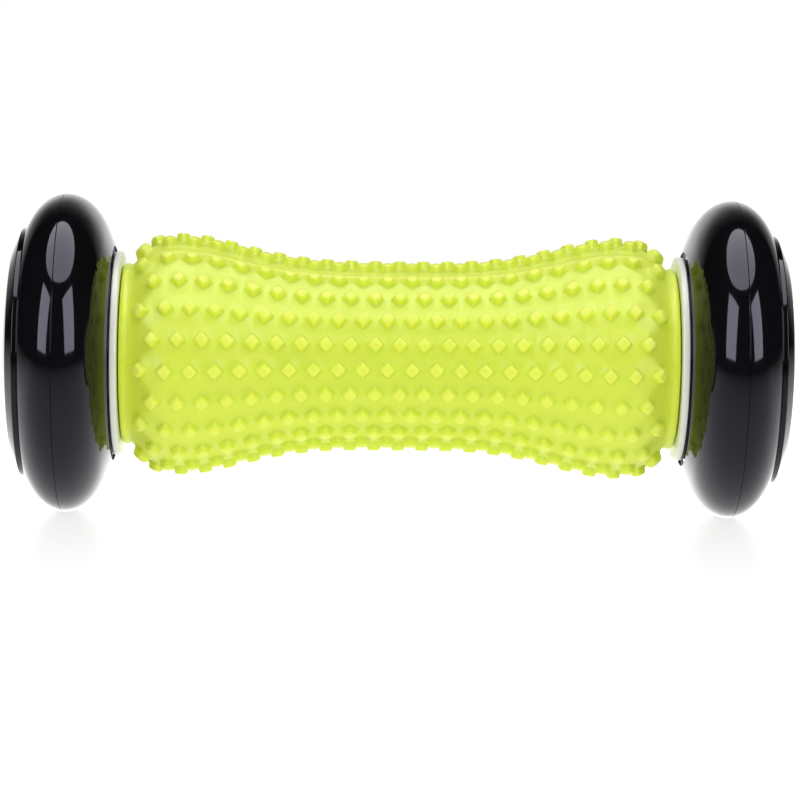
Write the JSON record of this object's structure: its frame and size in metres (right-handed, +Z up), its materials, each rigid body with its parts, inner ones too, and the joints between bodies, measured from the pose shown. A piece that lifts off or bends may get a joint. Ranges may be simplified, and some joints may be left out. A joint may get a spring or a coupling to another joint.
{
  "type": "foot massage roller",
  "caption": "Foot massage roller: a waisted lime sleeve covered with diamond nubs on a spinning barrel, between fat glossy black wheels on a steel axle.",
  "frame": {"origin": "The middle of the axle, half way between the two wheels. The wheels stand on the floor 35 mm below it.", "axes": "X runs along the axle towards the right wheel, Z points up, and Y points away from the person looking at it."},
  "size_m": [0.1714, 0.07, 0.07],
  "materials": {
    "lime_elastomer": "satin moulded elastomer",
    "black_plastic": "polished moulded plastic",
    "white_plastic": "plain moulded plastic",
    "nylon": "natural nylon",
    "steel": "turned steel"
  },
  "bodies": {
    "axle": {"axle_rod": "steel", "left_thrust_washer": "black_plastic", "left_retaining_washer": "steel", "left_retaining_screw": "steel", "right_thrust_washer": "black_plastic", "right_retaining_washer": "steel", "right_retaining_screw": "steel"},
    "barrel": {"massage_sleeve": "lime_elastomer", "core_tube": "white_plastic", "left_end_plug": "white_plastic", "left_barrel_bush": "nylon", "right_end_plug": "white_plastic", "right_barrel_bush": "nylon"},
    "left_wheel": {"left_wheel_inner_shell": "black_plastic", "left_wheel_outer_shell": "black_plastic", "left_wheel_bush": "nylon", "left_hub_cap": "black_plastic"},
    "right_wheel": {"right_wheel_inner_shell": "black_plastic", "right_wheel_outer_shell": "black_plastic", "right_wheel_bush": "nylon", "right_hub_cap": "black_plastic"}
  },
  "joints": [
    {"name": "barrel_spin", "type": "hinge", "parent": "axle", "child": "barrel", "pos_m": [0, 0, 0], "axis": [1, 0, 0], "continuous": true},
    {"name": "left_wheel_spin", "type": "hinge", "parent": "axle", "child": "left_wheel", "pos_m": [-0.0736, 0, 0], "axis": [1, 0, 0], "continuous": true},
    {"name": "right_wheel_spin", "type": "hinge", "parent": "axle", "child": "right_wheel", "pos_m": [0.0736, 0, 0], "axis": [1, 0, 0], "continuous": true}
  ]
}
